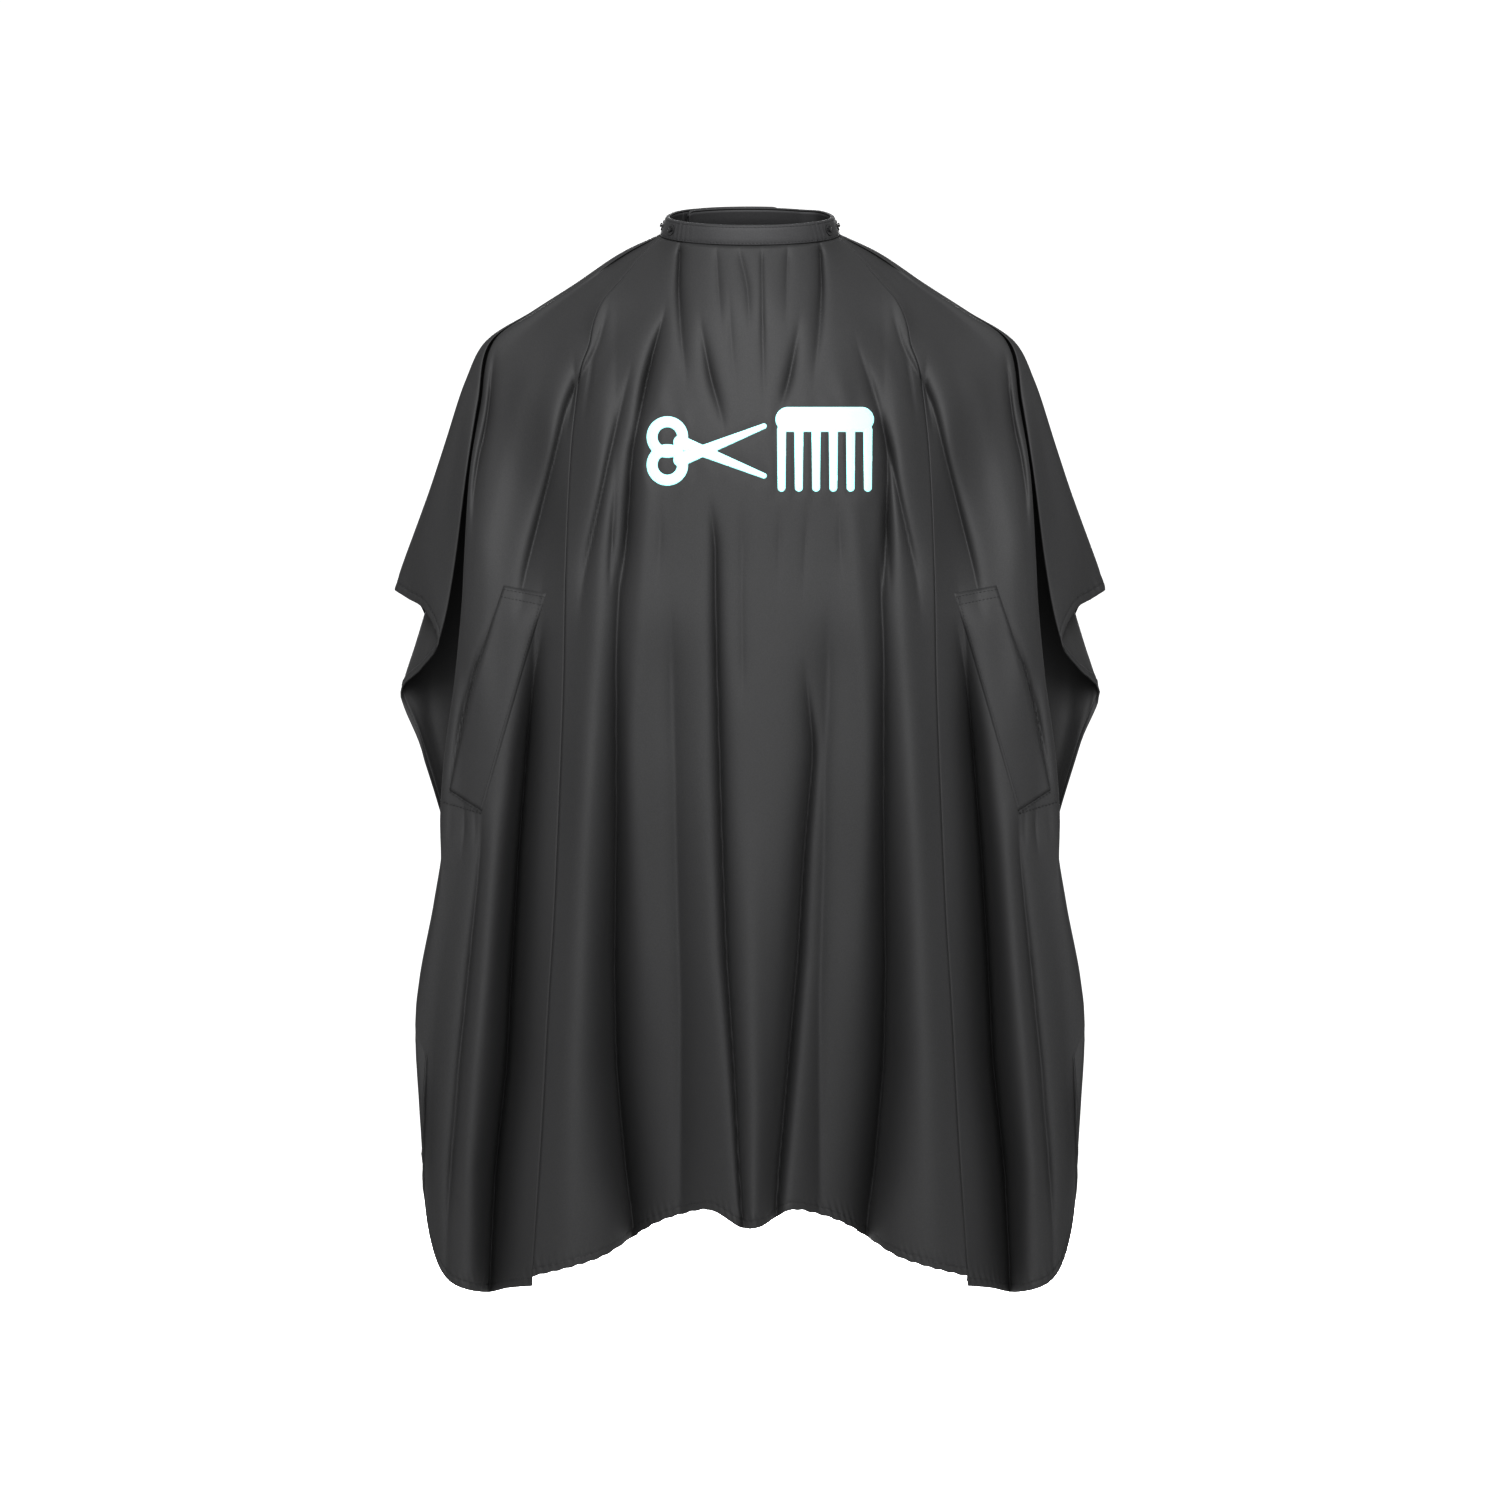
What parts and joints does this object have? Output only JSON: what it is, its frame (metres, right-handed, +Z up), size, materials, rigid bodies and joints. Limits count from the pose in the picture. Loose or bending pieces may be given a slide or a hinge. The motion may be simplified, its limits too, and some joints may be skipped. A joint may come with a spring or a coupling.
{
  "type": "barber cape",
  "caption": "Wide cape of light cloth that covers a seated client, with a snapped neckband, an opening down the back and a covered hand slit at each side.",
  "frame": {"origin": "middle of the neck opening, at the mid-height of the closed neckband", "axes": "+Z up along the wearer's neck, -Y to the wearer's front, -X to the viewer's left"},
  "size_m": [0.6764, 0.3216, 1.02],
  "materials": {
    "cape_cloth": "smooth satin-like polyester, soft sheen",
    "band_cloth": "folded polyester band with edge stitching",
    "interlining": "stiff non-woven interlining",
    "thread": "light turquoise satin-stitch embroidery thread",
    "snap_black": "black lacquered brass snap",
    "spring_wire": "bright spring wire"
  },
  "bodies": {
    "cape": {"front_panel": "cape_cloth", "side_panel_left": "cape_cloth", "side_panel_right": "cape_cloth", "back_panel_right": "cape_cloth", "slit_facing_left": "cape_cloth", "slit_facing_right": "cape_cloth", "neckband_outer": "band_cloth", "neckband_interlining": "interlining", "neckband_facing": "band_cloth", "studs_left": "snap_black", "studs_left_back_rings": "snap_black", "studs_right": "snap_black", "studs_right_back_rings": "snap_black", "studs_back": "snap_black", "studs_back_back_rings": "snap_black", "embroidery_scissors": "thread", "embroidery_comb": "thread"},
    "back_left": {"back_panel_left": "cape_cloth", "neckband_left_outer": "band_cloth", "neckband_left_interlining": "interlining", "neckband_left_facing": "band_cloth"},
    "closure_tab": {"closure_tab_outer": "band_cloth", "closure_tab_interlining": "interlining", "closure_tab_facing": "band_cloth", "tab_sockets": "snap_black", "tab_socket_springs": "spring_wire", "tab_caps": "snap_black"},
    "hand_flap_left": {"hand_flap_left": "cape_cloth"},
    "hand_flap_right": {"hand_flap_right": "cape_cloth"}
  },
  "joints": [
    {"name": "back_left_open", "type": "hinge", "parent": "cape", "child": "back_left", "pos_m": [-0.072, 0.046, 0.005], "axis": [0.118, -0.2089, 0.9708], "range_deg": [0, 60]},
    {"name": "closure_tab_peel", "type": "hinge", "parent": "back_left", "child": "closure_tab", "pos_m": [-0.0479, 0.05034, 0.01002], "axis": [0, -0.2504, 0.9681], "range_deg": [0, 110]},
    {"name": "hand_flap_left_lift", "type": "hinge", "parent": "cape", "child": "hand_flap_left", "pos_m": [-0.21924, -0.10198, -0.4565], "axis": [0.2872, 0.028, 0.9575], "range_deg": [0, 25], "stiffness_Nm_per_rad": 0.002},
    {"name": "hand_flap_right_lift", "type": "hinge", "parent": "cape", "child": "hand_flap_right", "pos_m": [0.21924, -0.10198, -0.4565], "axis": [-0.2872, 0.028, 0.9575], "range_deg": [-25, 0], "stiffness_Nm_per_rad": 0.002}
  ]
}
